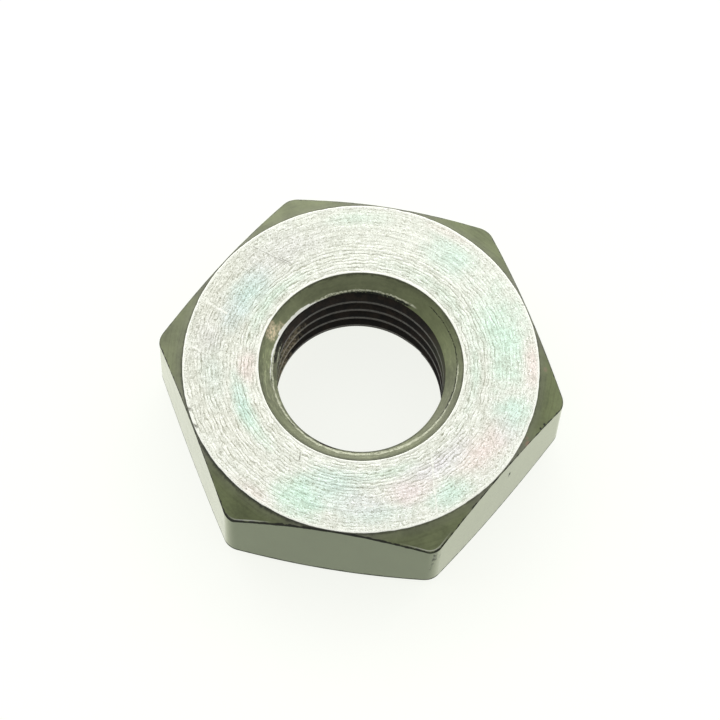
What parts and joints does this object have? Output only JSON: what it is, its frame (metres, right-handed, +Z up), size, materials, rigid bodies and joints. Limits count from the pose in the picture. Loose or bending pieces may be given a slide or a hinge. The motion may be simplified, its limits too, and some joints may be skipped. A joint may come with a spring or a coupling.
{
  "type": "hexagon thin nut",
  "caption": "Thin hexagon nut, chamfered at both ends, with a fine threaded through hole that is countersunk at each face.",
  "frame": {"origin": "centre of the underside, on the axis of the thread", "axes": "+Z up along the thread's axis, from the underside to the broader turned face; two of the hexagon's corners lie along X, and two of its flats face -Y and +Y"},
  "size_m": [0.0216, 0.019, 0.006],
  "materials": {
    "plated_steel": "zinc plated and passivated, bright with an olive tint, its faces turned to a fine matt grain"
  },
  "bodies": {
    "root": {"hex_nut": "plated_steel"}
  },
  "joints": []
}
